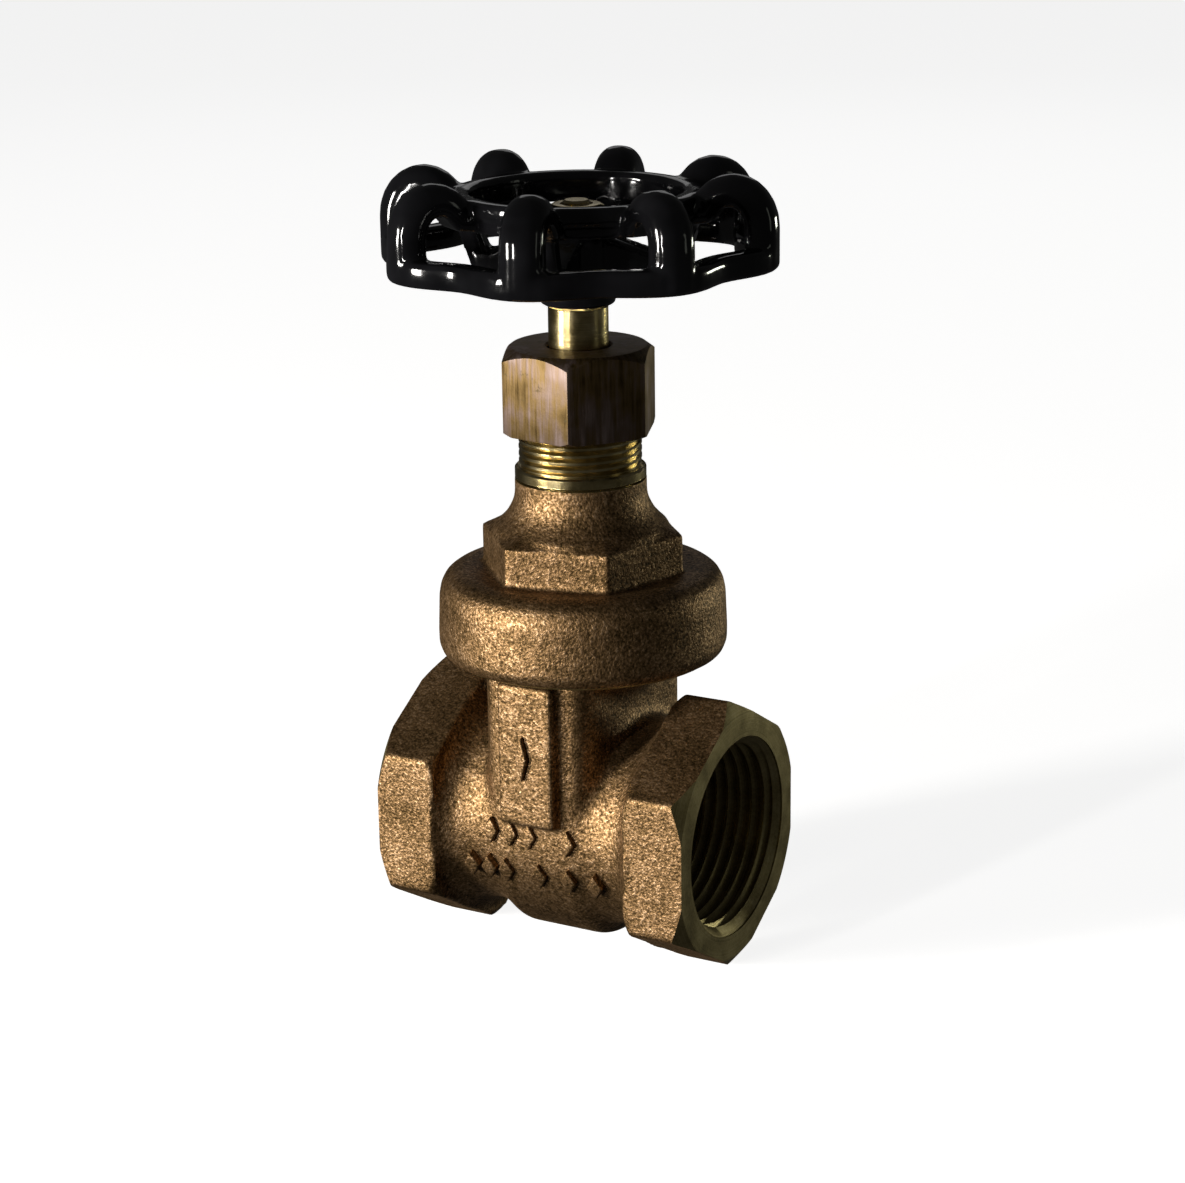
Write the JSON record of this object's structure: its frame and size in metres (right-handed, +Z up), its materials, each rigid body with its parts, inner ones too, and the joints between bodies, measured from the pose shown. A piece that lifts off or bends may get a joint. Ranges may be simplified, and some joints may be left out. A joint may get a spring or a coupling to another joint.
{
  "type": "gate valve",
  "caption": "Threaded bronze gate valve: screwed bonnet, non-rising stem, packing nut and lobed black handwheel.",
  "frame": {"origin": "where the stem's axis crosses the axis of the bore", "axes": "+X along the pipe towards port B, +Z up the stem towards the handwheel, -Y is the front"},
  "size_m": [0.0658, 0.0658, 0.1335],
  "materials": {
    "cast_bronze": "sand-cast, rough",
    "turned_brass": "machined",
    "black_enamel": "gloss black",
    "packing_cord": "braided graphite cord",
    "zinc_plate": "zinc plated"
  },
  "bodies": {
    "valve_body": {"body": "cast_bronze", "bonnet": "cast_bronze", "stuffing_box": "turned_brass", "packing_ring_1": "packing_cord", "packing_ring_2": "packing_cord", "packing_ring_3": "packing_cord", "packing_ring_4": "packing_cord", "packing_gland": "turned_brass", "packing_nut": "turned_brass"},
    "stem_and_wheel": {"stem": "turned_brass", "handwheel": "black_enamel", "wheel_washer": "zinc_plate", "wheel_nut": "turned_brass"},
    "gate": {"wedge": "turned_brass"}
  },
  "joints": [
    {"name": "stem_turn", "type": "hinge", "parent": "valve_body", "child": "stem_and_wheel", "pos_m": [0, 0, 0.09], "axis": [0, 0, 1], "range_deg": [0, 2948]},
    {"name": "wedge_lift", "type": "slide", "parent": "valve_body", "child": "gate", "axis": [0, 0, 1], "range_m": [0, 0.026]}
  ],
  "couplings": [
    {"joint": "wedge_lift", "follows": "stem_turn", "m_per_rad": 0.00050532}
  ]
}
